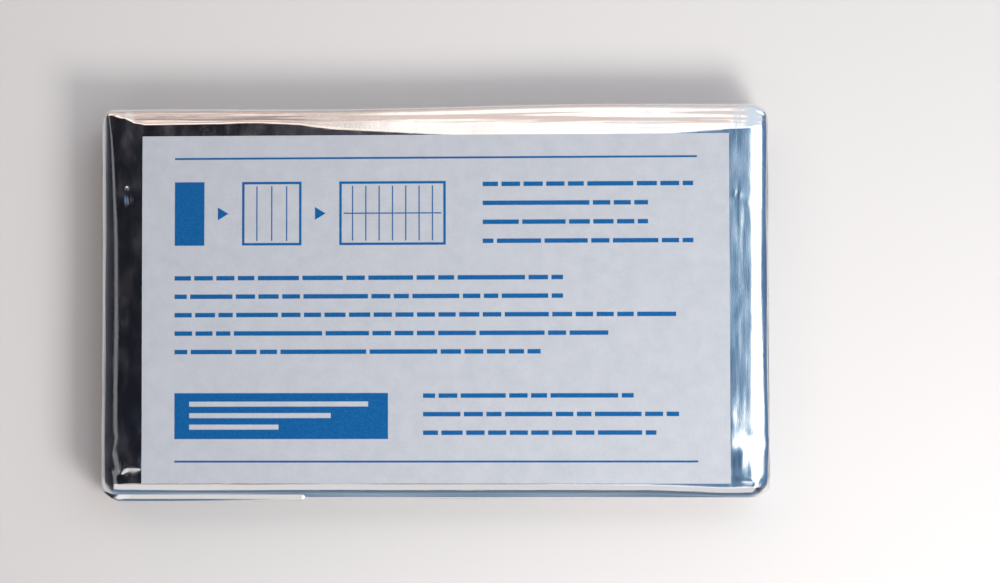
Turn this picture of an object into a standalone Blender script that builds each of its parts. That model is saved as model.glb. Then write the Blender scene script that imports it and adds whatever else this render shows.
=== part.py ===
"""A folded emergency foil blanket, lying on its back with its paper label up.

Metres, +Z up. X runs along the pack's long side, Y across it, and the origin lies
in the middle of the underside, on the surface that the pack rests on.
"""

import math

import bpy
from mathutils import Vector

MM = 0.001

# The pack and its leaves.
PACK_LENGTH = 134.4 * MM
LEAF_THICKNESS = 1.2 * MM
LEAF_GAP = 0.36 * MM
LEAF_PITCH = LEAF_THICKNESS + LEAF_GAP
BEND_RADIUS = LEAF_PITCH / 2

# Each turn of the folded strip, from the bottom up. A turn at BACK bends at +Y and one
# at FRONT at -Y. The first row is the closed end of the bottom leaf.
FRONT = -1
BACK = 1
TURNS = (
    # side, reach at the left end, reach at the right end
    (BACK, 37.9 * MM, 37.6 * MM),
    (FRONT, 38.4 * MM, 38.1 * MM),
    (BACK, 38.7 * MM, 38.4 * MM),
    (FRONT, 39.1 * MM, 38.9 * MM),
    (BACK, 39.1 * MM, 38.8 * MM),
    (FRONT, 38.7 * MM, 39.0 * MM),
    (BACK, 38.8 * MM, 38.3 * MM),
    (FRONT, 37.2 * MM, 37.1 * MM),
    (BACK, 38.0 * MM, 37.3 * MM),
)

# The turns wander a little along the pack, each in its own way.
WANDER = 0.22 * MM
WANDER_PERIOD = 88 * MM
WANDER_STEP = 2.3

# How far each leaf's pleated ends fall short of the pack's ends, from the bottom up.
LEAF_ENDS = (
    # short at the left, short at the right
    (0.5 * MM, 0.3 * MM),
    (0.1 * MM, 0.6 * MM),
    (0.3 * MM, 0.2 * MM),
    (0.0 * MM, 0.4 * MM),
    (0.4 * MM, 0.0 * MM),
    (0.2 * MM, 0.3 * MM),
    (0.6 * MM, 0.1 * MM),
    (0.5 * MM, 0.5 * MM),
    (1.1 * MM, 0.7 * MM),
)
END_RUN = 6 * MM

# The free end of the top leaf bends down over the turn below it. Left of LIP_STEP_X
# it hangs lower, to a square corner.
LIP_START = 36.2 * MM
LIP_RADIUS = 1.9 * MM
LIP_ANGLE = math.radians(52)
LIP_STEP_X = -26.2 * MM
LIP_STEP_ANGLE = math.radians(16)
LIP_STEP_RUN = 0.8 * MM

# Where the flat of the front face ends and its shoulders start to round over.
LEFT_SHOULDER = -64.4 * MM
RIGHT_SHOULDER = 62.8 * MM
FRONT_SHOULDER = -36.2 * MM
BACK_SHOULDER = (
    # along X, place in Y
    (-67.2 * MM, 36.4 * MM),
    (-59.0 * MM, 35.6 * MM),
    (-34.0 * MM, 36.2 * MM),
    (-19.0 * MM, 35.0 * MM),
    (5.0 * MM, 34.1 * MM),
    (45.0 * MM, 34.0 * MM),
    (56.0 * MM, 34.9 * MM),
    (67.2 * MM, 35.2 * MM),
)
HALF_WIDTH = 39.1 * MM
SHOULDER_DROP = 0.2
CROWN = 0.028
CORNER_CUT = 1.6 * MM

# The paper label on the front leaf.
LABEL_LEFT = -58.6 * MM
LABEL_RIGHT = 59.2 * MM
LABEL_FRONT = -36.1 * MM
LABEL_BACK = 33.7 * MM
LABEL_THICKNESS = 1.0 * MM
CLEARANCE = 0.3 * MM

# The pleated ends thin to a rounded edge.
EDGE_RUN = 0.7 * MM
EDGE_THINNING = 0.5

# How finely the shapes are cut.
SMOOTH_ANGLE = math.radians(40)
BEND_STEPS = 4
LIP_STEPS = 3
NOSE_STEPS = 2
LEAF_STATIONS = (0.022, 0.055, 0.5, 0.945, 0.978)
STEP_SECTIONS = (LIP_STEP_X - LIP_STEP_RUN / 2, LIP_STEP_X + LIP_STEP_RUN / 2)
LEFT_SECTIONS_MM = (-67.2, -66.6, -65.6, -64.0, -59.0, -46.0, -34.0)
RIGHT_SECTIONS_MM = (-19.0, -7.0, 5.0, 18.0, 32.0, 45.0, 56.0, 61.5, 64.0, 66.0, 67.2)
LABEL_COLUMNS = 10
LABEL_ROWS = 6


def lerp(a, b, t):
    return a + (b - a) * t


def from_table(table, x):
    """The value at x of a table of (place, value) rows, straight between its rows."""
    for (x0, v0), (x1, v1) in zip(table, table[1:]):
        if x <= x1:
            return lerp(v0, v1, (x - x0) / (x1 - x0))
    return table[-1][1]


def along(x):
    """0 at the pack's left end and 1 at its right end."""
    return x / PACK_LENGTH + 0.5


def past(value, start, end):
    """How far a place has gone from start to end, from 0 to 1."""
    return min(1, max(0, (value - start) / (end - start)))


def end_fall(x):
    """How far x lies past the shoulder of a short end, from 0 to 1."""
    half = PACK_LENGTH / 2
    return max(past(x, LEFT_SHOULDER, -half), past(x, RIGHT_SHOULDER, half))


def height_factor(x, y):
    """What the pressed pack keeps of its height: a low crown with rounded shoulders."""
    across = max(
        past(y, FRONT_SHOULDER, -HALF_WIDTH),
        past(y, from_table(BACK_SHOULDER, x), HALF_WIDTH),
    )
    fall = min(1, end_fall(x) ** 2 + across ** 2)
    x_part = 1 - (2 * x / PACK_LENGTH) ** 2
    y_part = 1 - (y / HALF_WIDTH) ** 2
    return 1 + CROWN * x_part * max(0, y_part) - SHOULDER_DROP * fall


def leaf_height(leaf):
    """The height of the middle of a leaf, before pressing. Leaf 0 is the bottom one."""
    return LEAF_THICKNESS / 2 + leaf * LEAF_PITCH


def reach(turn, x):
    """How far the outside of a turn stands from the middle of the pack."""
    _, left, right = TURNS[turn]
    wander = WANDER * math.sin(2 * math.pi * x / WANDER_PERIOD + WANDER_STEP * turn)
    return lerp(left, right, along(x)) + wander - CORNER_CUT * end_fall(x) ** 2


def bend_points(turn, x):
    """The middle line round one turn, as (y, z, normal y, normal z, leaf) rows."""
    side = TURNS[turn][0]
    centre_y = side * (reach(turn, x) - BEND_RADIUS - LEAF_THICKNESS / 2)
    centre_z = leaf_height(turn - 0.5)
    rows = []
    for step in range(BEND_STEPS + 1):
        share = step / BEND_STEPS
        angle = math.pi * (share - 0.5)
        out_y, out_z = side * math.cos(angle), math.sin(angle)
        rows.append((
            centre_y + BEND_RADIUS * out_y,
            centre_z + BEND_RADIUS * out_z,
            side * out_y,
            side * out_z,
            turn - 1 + share,
        ))
    return rows


def lip_points(x):
    """The middle line of the top leaf's free end, bending down at the front."""
    leaf = len(TURNS) - 1
    centre_z = leaf_height(leaf) - LIP_RADIUS
    lowered = 1 - past(x, *STEP_SECTIONS)
    sweep = LIP_ANGLE + LIP_STEP_ANGLE * lowered
    start = LIP_START - CORNER_CUT * end_fall(x) ** 2
    rows = []
    for step in range(LIP_STEPS + 1):
        angle = sweep * step / LIP_STEPS
        out_y, out_z = -math.sin(angle), math.cos(angle)
        rows.append((
            -start + LIP_RADIUS * out_y,
            centre_z + LIP_RADIUS * out_z,
            out_y,
            out_z,
            leaf,
        ))
    return rows


def middle_line(x):
    """The middle line of the whole folded strip, from the bottom leaf up."""
    start_y = reach(0, x) - LEAF_THICKNESS / 2
    rows = [(start_y, leaf_height(0), 0, 1, 0)]
    for leaf in range(len(TURNS)):
        last = leaf == len(TURNS) - 1
        arrival = lip_points(x) if last else bend_points(leaf + 1, x)
        y0, y1 = rows[-1][0], arrival[0][0]
        upward = 1 if leaf % 2 == 0 else -1
        for share in LEAF_STATIONS:
            rows.append((lerp(y0, y1, share), leaf_height(leaf), 0, upward, leaf))
        rows += arrival
    return rows


def leaf_end_shift(x, leaf):
    """How far a point near a short end is drawn in, so that the leaves end unevenly."""
    lower = min(int(leaf), len(LEAF_ENDS) - 2)
    share = leaf - lower
    left = lerp(LEAF_ENDS[lower][0], LEAF_ENDS[lower + 1][0], share)
    right = lerp(LEAF_ENDS[lower][1], LEAF_ENDS[lower + 1][1], share)
    half = PACK_LENGTH / 2
    return left * past(x, END_RUN - half, -half) - right * past(x, half - END_RUN, half)


def place(x, point):
    """Where a point of the flat-stacked strip lies in the pressed pack."""
    y, z, leaf, middle_y = point
    return Vector((x + leaf_end_shift(x, leaf), y, z * height_factor(x, middle_y)))


def thickness(x):
    """The leaf's thickness, which thins to a rounded edge at the short ends."""
    half = PACK_LENGTH / 2
    return LEAF_THICKNESS * (1 - EDGE_THINNING * past(abs(x), half - EDGE_RUN, half) ** 2)


def nose(row, ahead_y, ahead_z, half_thickness):
    """Points that round off a leaf's end, from its normal side to the other side."""
    y, z, normal_y, normal_z, leaf = row
    points = []
    for step in range(1, NOSE_STEPS + 1):
        angle = math.pi * (0.5 - step / (NOSE_STEPS + 1))
        ahead = half_thickness * math.cos(angle)
        up = half_thickness * math.sin(angle)
        points.append((
            y + ahead_y * ahead + normal_y * up,
            z + ahead_z * ahead + normal_z * up,
            leaf,
            y,
        ))
    return points


def strip_outline(x):
    """The closed outline of the folded strip at x: one face, a nose, the other, a nose."""
    rows = middle_line(x)
    half = thickness(x) / 2
    near = [(y + ny * half, z + nz * half, leaf, y) for y, z, ny, nz, leaf in rows]
    far = [(y - ny * half, z - nz * half, leaf, y) for y, z, ny, nz, leaf in rows]
    _, _, last_ny, last_nz, _ = rows[-1]
    end_nose = nose(rows[-1], -last_nz, last_ny, half)
    start_nose = nose(rows[0], 1, 0, half)
    outline = near + end_nose + far[::-1] + start_nose[::-1]
    return [place(x, point) for point in outline]


def label_outline(x):
    """The closed outline of the paper label at x, lying on the top leaf."""
    stack_top = leaf_height(len(TURNS) - 1) + LEAF_THICKNESS / 2
    ys = [lerp(LABEL_FRONT, LABEL_BACK, row / LABEL_ROWS) for row in range(LABEL_ROWS + 1)]
    under = [stack_top * height_factor(x, y) + CLEARANCE for y in ys]
    lower = [Vector((x, y, z)) for y, z in zip(ys, under)]
    upper = [point + Vector((0, 0, LABEL_THICKNESS)) for point in lower]
    return upper[::-1] + lower


def ribbon_loft(name, outlines, face_points, nose_points):
    """A closed mesh through outlines that each run along two facing sides.

    An outline holds face_points on one side, nose_points round the end, face_points
    back along the other side and nose_points round the start. The two ends of the
    loft are filled between the facing sides.
    """
    count = len(outlines[0])
    vertices = [point for outline in outlines for point in outline]
    far_end = face_points + nose_points
    faces = []
    for section in range(len(outlines) - 1):
        base = section * count
        for i in range(count):
            j = (i + 1) % count
            faces.append((base + i, base + j, base + count + j, base + count + i))
    for base, turned in ((0, True), (len(vertices) - count, False)):
        cap = []
        for i in range(face_points - 1):
            facing = far_end + face_points - 1 - i
            cap.append([i, i + 1, facing - 1, facing])
        if nose_points:
            cap.append(list(range(face_points - 1, far_end + 1)))
            cap.append(list(range(far_end + face_points - 1, count)) + [0])
        for face in cap:
            ordered = face[::-1] if turned else face
            faces.append([base + i for i in ordered])
    mesh = bpy.data.meshes.new(name)
    mesh.from_pydata(vertices, [], faces)
    mesh.validate()
    return mesh


def surface(name, colour, roughness, metallic):
    material = bpy.data.materials.new(name)
    material.use_nodes = True
    shader = material.node_tree.nodes["Principled BSDF"]
    shader.inputs["Base Color"].default_value = (*colour, 1)
    shader.inputs["Roughness"].default_value = roughness
    shader.inputs["Metallic"].default_value = metallic
    return material


def add_piece(name, mesh, material, collection):
    mesh.materials.append(material)
    mesh.shade_smooth()
    mesh.set_sharp_from_angle(angle=SMOOTH_ANGLE)
    piece = bpy.data.objects.new(name, mesh)
    collection.objects.link(piece)
    return piece


def foil_sheet(collection):
    """The one folded sheet: a back-and-forth section drawn along the pack."""
    left = [x * MM for x in LEFT_SECTIONS_MM]
    right = [x * MM for x in RIGHT_SECTIONS_MM]
    outlines = [strip_outline(x) for x in (*left, *STEP_SECTIONS, *right)]
    face_points = len(middle_line(0))
    mesh = ribbon_loft("foil_sheet", outlines, face_points, NOSE_STEPS)
    metal = surface("metallised_film", (0.80, 0.81, 0.83), 0.16, 1.0)
    return add_piece("foil_sheet", mesh, metal, collection)


def paper_label(collection):
    """The printed leaf, a sheet that follows the front leaf's low crown."""
    columns = range(LABEL_COLUMNS + 1)
    xs = [lerp(LABEL_LEFT, LABEL_RIGHT, column / LABEL_COLUMNS) for column in columns]
    outlines = [label_outline(x) for x in xs]
    mesh = ribbon_loft("paper_label", outlines, LABEL_ROWS + 1, 0)
    paper = surface("label_paper", (0.62, 0.66, 0.72), 0.75, 0.0)
    return add_piece("paper_label", mesh, paper, collection)


def main():
    for thing in list(bpy.data.objects):
        bpy.data.objects.remove(thing)
    collection = bpy.data.collections.new("folded_emergency_foil_blanket")
    bpy.context.scene.collection.children.link(collection)
    foil_sheet(collection)
    paper_label(collection)


main()
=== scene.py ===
# %% [markdown]
# # A folded emergency foil blanket
#
# This lesson dresses a small pack: one huge sheet of metallised film, pleated and
# folded until it is 134 mm long and 14 mm thick, with a printed paper leaf on its
# front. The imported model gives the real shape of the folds. Here the film gets its
# true thinness, its creases and its mirror finish, and the paper its print.
#
# We start by loading that model. Everything is in metres, Z points up, and the pack
# lies on its back with the origin in the middle of its underside.

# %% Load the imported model
import math

import bpy
import numpy as np
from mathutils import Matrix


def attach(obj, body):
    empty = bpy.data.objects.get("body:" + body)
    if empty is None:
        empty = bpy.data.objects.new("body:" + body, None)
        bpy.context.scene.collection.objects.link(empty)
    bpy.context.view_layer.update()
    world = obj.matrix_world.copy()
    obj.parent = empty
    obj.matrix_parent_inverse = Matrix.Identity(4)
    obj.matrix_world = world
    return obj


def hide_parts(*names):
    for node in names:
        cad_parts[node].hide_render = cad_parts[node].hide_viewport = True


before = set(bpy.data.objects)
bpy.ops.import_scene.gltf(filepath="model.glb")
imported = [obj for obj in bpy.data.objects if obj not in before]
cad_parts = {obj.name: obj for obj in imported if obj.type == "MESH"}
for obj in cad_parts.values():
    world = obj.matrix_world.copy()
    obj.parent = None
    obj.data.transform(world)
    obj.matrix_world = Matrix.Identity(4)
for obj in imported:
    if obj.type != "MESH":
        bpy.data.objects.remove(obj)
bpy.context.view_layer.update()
print("nodes:", sorted(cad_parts))

# %% [markdown]
# ## The camera
#
# The pack is seen nearly straight from the front, a little from the right, by a long
# lens. A long lens keeps the sides almost hidden, so the rounded shoulders are what
# shows of the thickness. The place and the turn are set directly, because a
# Track To constraint would also roll the picture.

# %% Place the camera
MM = 0.001
LENS = 85
CAMERA_PLACE = (32.4 * MM, -13.8 * MM, 485.2 * MM)
CAMERA_TURN = (math.radians(1.94), math.radians(2.31), math.radians(-0.11))

bpy.ops.object.select_all(action="DESELECT")
bpy.ops.object.camera_add(location=CAMERA_PLACE, rotation=CAMERA_TURN)
camera = bpy.context.object
camera.name = "studio_camera"
camera.data.lens = LENS
camera.data.clip_start = 10 * MM
bpy.context.scene.camera = camera
print("camera height in mm:", round(camera.location.z / MM, 1))

# %% [markdown]
# ## How the blanket is folded
#
# The real sheet is 52 by 84 inches. It is pleated to and fro along its long side into
# 16 plies, folded once in half, and the thick ribbon that this gives is zigzagged into
# nine leaves. We could fake the pile as nine slabs, but the ends would look like
# cardboard. Instead each ply is carried to its true place, so the sheet stays one
# piece and keeps its real area.
#
# The leaves follow the solid model, so most of these sizes repeat the ones that made
# it. The folds that show reach out about 1 mm further here, because their thin edges
# stand proud of the pressed pile.

# %% Sizes of the fold
PLIES = 16

PACK_LENGTH = 134.4 * MM
LEAF_THICKNESS = 1.2 * MM
LEAF_PITCH = 1.56 * MM
BEND_RADIUS = LEAF_PITCH / 2
HALF = PACK_LENGTH / 2

FRONT, BACK = -1, 1
TURNS = (
    # side, reach at the left end, reach at the right end, in mm from the bottom up
    (BACK, 37.9, 37.6),
    (FRONT, 39.2, 38.3),
    (BACK, 38.7, 38.4),
    (FRONT, 40.1, 39.0),
    (BACK, 39.1, 38.8),
    (FRONT, 40.2, 39.1),
    (BACK, 38.8, 38.3),
    (FRONT, 37.2, 37.1),
    (BACK, 39.0, 39.9),
)
LEAVES = len(TURNS)
TOP_TURN = LEAVES - 1

print("layers of film in the pile:", 2 * PLIES * LEAVES)

# %% [markdown]
# ## The pressed shape of the pack
#
# The pile isn't a box. It was pressed, so it is a little thicker in the middle and its
# edges slope down. The slopes don't start on straight lines: short tables give where
# the flat of the front ends. One function then gives the share of the height that is
# left at each place, and every layer is squeezed by it. We could press a finished mesh
# with a lattice, but a function is exact, and it can be asked again for the paper.

# %% Shoulders and rise
RIGHT_SHOULDER = 63.2 * MM
LEFT_CORNER = -64.4 * MM
FRONT_SHOULDER = -36.2 * MM
LATE_BEND = 0.55 * MM
LATE_START, LATE_END = 44 * MM, 58 * MM
LEFT_X = np.array((-62.9, -62.9, -63.05, -63.4, -64.1, -64.6, -65.5)) * MM
LEFT_Y = np.array((-39, -24, -5, 16.5, 29, 34, 39)) * MM
BACK_X = np.array((-67.2, -62.2, -60.4, -58, -46, -34, -27, -19, 5, 45, 56, 67.2)) * MM
BACK_Y = np.array((38.6, 37.7, 36.8, 36.4, 36.5, 36.8, 36.3, 35.3, 34.1, 34, 34.9, 35.2)) * MM
HALF_WIDTH = 39.1 * MM
SHOULDER_DROP = 0.2
END_SHARE = 0.6
BACK_SHARE = 0.55
BACK_CRISPNESS = 0.65
MIDDLE_RISE = 0.028


def past(value, start, end):
    """How far a value has gone from start to end, from 0 to 1."""
    return np.clip((value - start) / (end - start), 0, 1)


def lip_shift(x):
    """How much further out the front edge bends down near its right end."""
    return LATE_BEND * past(x, LATE_START, LATE_END)


def end_fall(x):
    """How far x lies past the shoulder of a short end, from 0 to 1."""
    return np.maximum(past(x, LEFT_CORNER, -HALF), past(x, RIGHT_SHOULDER, HALF))


def back_shoulder(x):
    """Where the flat of the front ends at the back edge, which wanders a little."""
    return np.interp(x, BACK_X, BACK_Y)


def left_shoulder(y):
    """Where the flat of the front ends at the left, on a slanting line."""
    return np.interp(y, LEFT_Y, LEFT_X)


def height_factor(x, y):
    """The share of its height that the pressed pack keeps at a place."""
    front = past(y + lip_shift(x), FRONT_SHOULDER, -HALF_WIDTH)
    back = past(y, back_shoulder(x), HALF_WIDTH)
    back_fall = BACK_SHARE * back * (BACK_CRISPNESS + (1 - BACK_CRISPNESS) * back)
    ends = np.maximum(past(x, left_shoulder(y), -HALF), past(x, RIGHT_SHOULDER, HALF))
    fall = np.minimum(1, END_SHARE * ends ** 2 + np.maximum(front ** 2, back_fall))
    x_part = 1 - (x / HALF) ** 2
    y_part = np.maximum(0, 1 - (y / HALF_WIDTH) ** 2)
    return 1 + MIDDLE_RISE * x_part * y_part - SHOULDER_DROP * fall


def leaf_height(leaf):
    """The height of the middle of a leaf before pressing. Leaf 0 is the bottom one."""
    return LEAF_THICKNESS / 2 + leaf * LEAF_PITCH


stack_top = leaf_height(LEAVES - 1) + LEAF_THICKNESS / 2
print("top of the foil in mm:", round(stack_top * height_factor(0.0, 0.0) / MM, 2))

# %% [markdown]
# ## Following the ribbon
#
# A station is one line across the ribbon: on a leaf, round a bend, on the drooping
# front lip, or round the closed end where the ribbon was folded in half. For each
# station we need the middle of the ribbon and the direction straight out of it.
#
# At the left the lower layers of the lip are longer than the upper ones and flare out,
# so a second bright edge shows there and stops squarely.

# %% Stations along the ribbon
WANDER = 0.22 * MM
WANDER_PERIOD = 88 * MM
WANDER_STEP = 2.3
CORNER_CUT = 1.6 * MM
LIP_START = 36.0 * MM
LIP_RADIUS = 2.6 * MM
LIP_ANGLE = math.radians(39)
EDGE_SHARE = 0.62
EDGE_LENGTH = 1.2 * MM
CUT_LENGTH = 0.45 * MM
LATE_TRIM = 1.3
FLARE_SHARE = 0.6
FLARE_LENGTH = 1.75 * MM
FLARE_DROP = 0.3 * MM
FLARE_ZONE = (0.2, 0.8)
FLARE_BEND = math.radians(35)
FLARE_ANGLE = math.radians(9)


def reach(turn, x):
    """How far the outside of a turn stands from the middle of the pack."""
    _, left, right = TURNS[turn]
    straight = (left + (right - left) * (x / PACK_LENGTH + 0.5)) * MM
    wander = WANDER * np.sin(2 * math.pi * x / WANDER_PERIOD + WANDER_STEP * turn)
    return straight + wander - CORNER_CUT * end_fall(x) ** 2


def round_bend(turn, share, x):
    """The middle line on a bend: y, z and the outward direction's y and z."""
    side = TURNS[turn][0]
    angle = math.pi * (share - 0.5)
    out_y, out_z = side * math.cos(angle), math.sin(angle)
    centre_y = side * (reach(turn, x) - BEND_RADIUS - LEAF_THICKNESS / 2)
    centre_z = leaf_height(turn - 0.5)
    y = centre_y + BEND_RADIUS * out_y
    z = centre_z + BEND_RADIUS * out_z + 0 * x
    return y, z, side * out_y + 0 * x, side * out_z + 0 * x


def on_lip(share, x, lowered, stepped):
    """The middle line where the top leaf's free end bends down at the front.

    Layers that are lowered flare out again, past the end of the ones above them,
    which are cut shorter where they're stepped.
    """
    bend_share = EDGE_SHARE + (FLARE_SHARE - EDGE_SHARE) * lowered
    bent = np.minimum(1, share / bend_share)
    edge = EDGE_LENGTH + (CUT_LENGTH - EDGE_LENGTH) * stepped - LATE_TRIM * lip_shift(x)
    beyond = (edge + (FLARE_LENGTH - edge) * lowered) * past(share, bend_share, 1)
    angle = (LIP_ANGLE + (FLARE_BEND - LIP_ANGLE) * lowered) * bent
    fall = LIP_ANGLE + (FLARE_ANGLE - LIP_ANGLE) * lowered
    start = LIP_START + lip_shift(x) - CORNER_CUT * end_fall(x) ** 2
    out_y, out_z = -np.sin(angle), np.cos(angle)
    y = -start + LIP_RADIUS * out_y - beyond * np.cos(fall)
    z = leaf_height(LEAVES - 1) - LIP_RADIUS + LIP_RADIUS * out_z - beyond * np.sin(fall)
    return y, z - FLARE_DROP * lowered * past(share, *FLARE_ZONE), out_y, out_z


def on_leaf(leaf, share, x):
    """The middle line on a leaf, share of the way from its lower bend to its upper one."""
    if leaf == 0:
        y0 = reach(0, x) - LEAF_THICKNESS / 2
    else:
        y0 = round_bend(leaf, 1, x)[0]
    if leaf == LEAVES - 1:
        y1 = on_lip(0, x, 0, 0)[0]
    else:
        y1 = round_bend(leaf + 1, 0, x)[0]
    upward = 1 if leaf % 2 == 0 else -1
    return y0 + (y1 - y0) * share, leaf_height(leaf) + 0 * x, 0 * x, upward + 0 * x


print("reach of the top fold in mm:", round(reach(TOP_TURN, 0.0) / MM, 2))

# %% [markdown]
# ## Rows: fine where the film shows
#
# A mesh only needs many points where somebody can see them. The rows are close
# together on the bends and at the borders of the front leaf, and far apart inside the
# pile. Rows marked coarse are also used by the hidden inner plies.

# %% List the rows of the sheet
BEND_STEPS = 10
TOP_BEND_STEPS = 24
LIP_STEPS = 12
NOSE_STEPS = 6
BEND_EVERY = 2
TOP_BEND_EVERY = 4
FRONT_EVERY = 8
FRONT_ZONES = (
    # share of the leaf where the zone ends, rows in it
    (0.065, 28),
    (0.175, 8),
    (0.26, 22),
    (0.80, 28),
    (0.97, 22),
    (1.0, 6),
)
HIDDEN_SHARES = (0.008, 0.03, 0.23, 0.5, 0.77, 0.97, 0.992)


def spaced(zones):
    """Numbers from 0 up, evenly spaced inside each zone."""
    numbers = [0.0]
    for end, count in zones:
        numbers += np.linspace(numbers[-1], end, count + 1)[1:].tolist()
    return numbers


def ribbon_rows(half):
    """The rows of one half of the ribbon, from the closed end up to the lip."""
    rows = [("leaf", 0, 0.0, True)]
    for leaf in range(LEAVES):
        shows = leaf == LEAVES - 1 and half == "front"
        shares = spaced(FRONT_ZONES)[1:-1] if shows else HIDDEN_SHARES
        for i, share in enumerate(shares):
            coarse = not shows or i % FRONT_EVERY == 0 or i == len(shares) - 1
            rows.append(("leaf", leaf, share, coarse))
        turn = leaf + 1
        kind, number, steps, every = "bend", turn, BEND_STEPS, BEND_EVERY
        if turn == LEAVES:
            kind, number, steps = "lip", leaf, LIP_STEPS
        elif turn == TOP_TURN and half == "front":
            steps, every = TOP_BEND_STEPS, TOP_BEND_EVERY
        rows += [(kind, number, i / steps, i % every == 0) for i in range(steps + 1)]
    return rows


rows = [(1, *row) for row in reversed(ribbon_rows("front"))]
rows += [(0, "nose", 0, i / NOSE_STEPS, True) for i in range(1, NOSE_STEPS)]
rows += [(-1, *row) for row in ribbon_rows("back")]
coarse_rows = [i for i, row in enumerate(rows) if row[4]]
print("rows:", len(rows), "of which coarse:", len(coarse_rows))

# %% [markdown]
# ## Columns: sixteen plies and their folds
#
# Across the ribbon the sheet runs to the right end, folds back, runs to the left end,
# and so on. The outer ply gets close columns near the ends. A little air lies under
# it, as in the real pack, which leaves room for its creases. The inner plies are
# about 0.03 mm apart.

# %% List the columns of the sheet
AIR = 0.2 * MM
FOLD_STEPS = 2
BORDER_ZONES = (
    # distance from the end in mm where the zone stops, columns in it
    (4.2, 17),
    (6.6, 15),
    (9.0, 7),
)
CENTRE_COLUMNS = 30
LIP_STEP_X = -26.2 * MM
LIP_STEP_RUN = 0.2 * MM
STEP_SHARE = 0.5 + LIP_STEP_X / PACK_LENGTH
HALF_STEP = LIP_STEP_RUN / 2 / PACK_LENGTH
STEP_SHARES = (STEP_SHARE - HALF_STEP, STEP_SHARE + HALF_STEP)
BEFORE_STEP = STEP_SHARE - 0.006
INNER_SHARES = (0, 0.014, 0.05, 0.16, BEFORE_STEP, *STEP_SHARES, 0.5, 0.665, 0.84, 0.986, 1)

spacing = (LEAF_THICKNESS / 2 - AIR) / (PLIES - 1)
depths = np.concatenate(((0,), AIR + spacing * np.arange(PLIES - 1)))
left_border = np.array(spaced(BORDER_ZONES)) * MM / PACK_LENGTH
border = left_border[-1]
centre = np.linspace(border, 1 - border, CENTRE_COLUMNS + 1)[1:-1]
outer_shares = np.sort(np.concatenate((left_border, centre, STEP_SHARES, 1 - left_border[::-1])))

columns = []  # ply, share of the length, depth under the outer face, reach past the end
for ply in range(PLIES):
    to_right = ply % 2 == 0
    shares = np.array(INNER_SHARES) if ply else outer_shares
    for share in shares if to_right else shares[::-1]:
        columns.append((ply, share, depths[ply], 0.0))
    if ply < PLIES - 1:
        radius = (depths[ply + 1] - depths[ply]) / 2
        for i in range(1, FOLD_STEPS):
            angle = math.pi * i / FOLD_STEPS
            out = radius * math.sin(angle) * (1 if to_right else -1)
            inward = radius * (1 - math.cos(angle))
            columns.append((ply, 1.0 if to_right else 0.0, depths[ply] + inward, out))
columns = np.array(columns)
fine_count = len(outer_shares)
print("columns:", len(columns), "of which on the outer ply:", fine_count)

# %% [markdown]
# ## Uneven ends
#
# No two folds of a real pack end at the same place. Each fold gets its own small
# setback and a slow wave of its own. Both plies of a fold share them, so they are
# looked up by fold and not by ply.

# %% Where each ply ends
# How far each leaf stops short of the ends, from the bottom one up.
SHORT_LEFT = np.array((0.5, 0.1, 0.3, 0, 0.4, 0.2, 0.6, 0.3, 0)) * MM
SHORT_RIGHT = np.array((0.3, 0.6, 0.2, 0.4, 0, 0.3, 0.1, 0.4, 0)) * MM
END_ROUNDING = 0.7 * MM
END_JITTER = 0.28 * MM
END_WAVE = 0.12 * MM
END_WAVE_PERIOD = 31 * MM

leaf_numbers = np.arange(LEAVES)
fold_noise = np.random.default_rng(16).uniform(0, 1, (2, PLIES + 1, 2))


def fold_at(ply, right):
    """The number of the fold that closes a ply at one end, from 0 for a free edge."""
    return ply + 1 if (ply % 2 == 0) == right else ply


def setback(half, ply, right, along_sheet):
    """How far short of the leaf's end a ply's fold stops."""
    fold = fold_at(ply, right)
    depth = depths[0] if fold == 0 else (depths[min(fold, PLIES - 1)] + depths[fold - 1]) / 2
    off_centre = 1 - depth / (LEAF_THICKNESS / 2)
    rounded = END_ROUNDING * (1 - math.sqrt(1 - min(off_centre, 1) ** 2))
    amount, phase = fold_noise[0 if half >= 0 else 1, fold]
    wave = math.sin(2 * math.pi * (along_sheet / END_WAVE_PERIOD + phase))
    return rounded + END_JITTER * amount + END_WAVE * (1 + wave)


print("setback of the outer fold in mm:", round(setback(1, 0, True, 0.0) / MM, 2))
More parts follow.
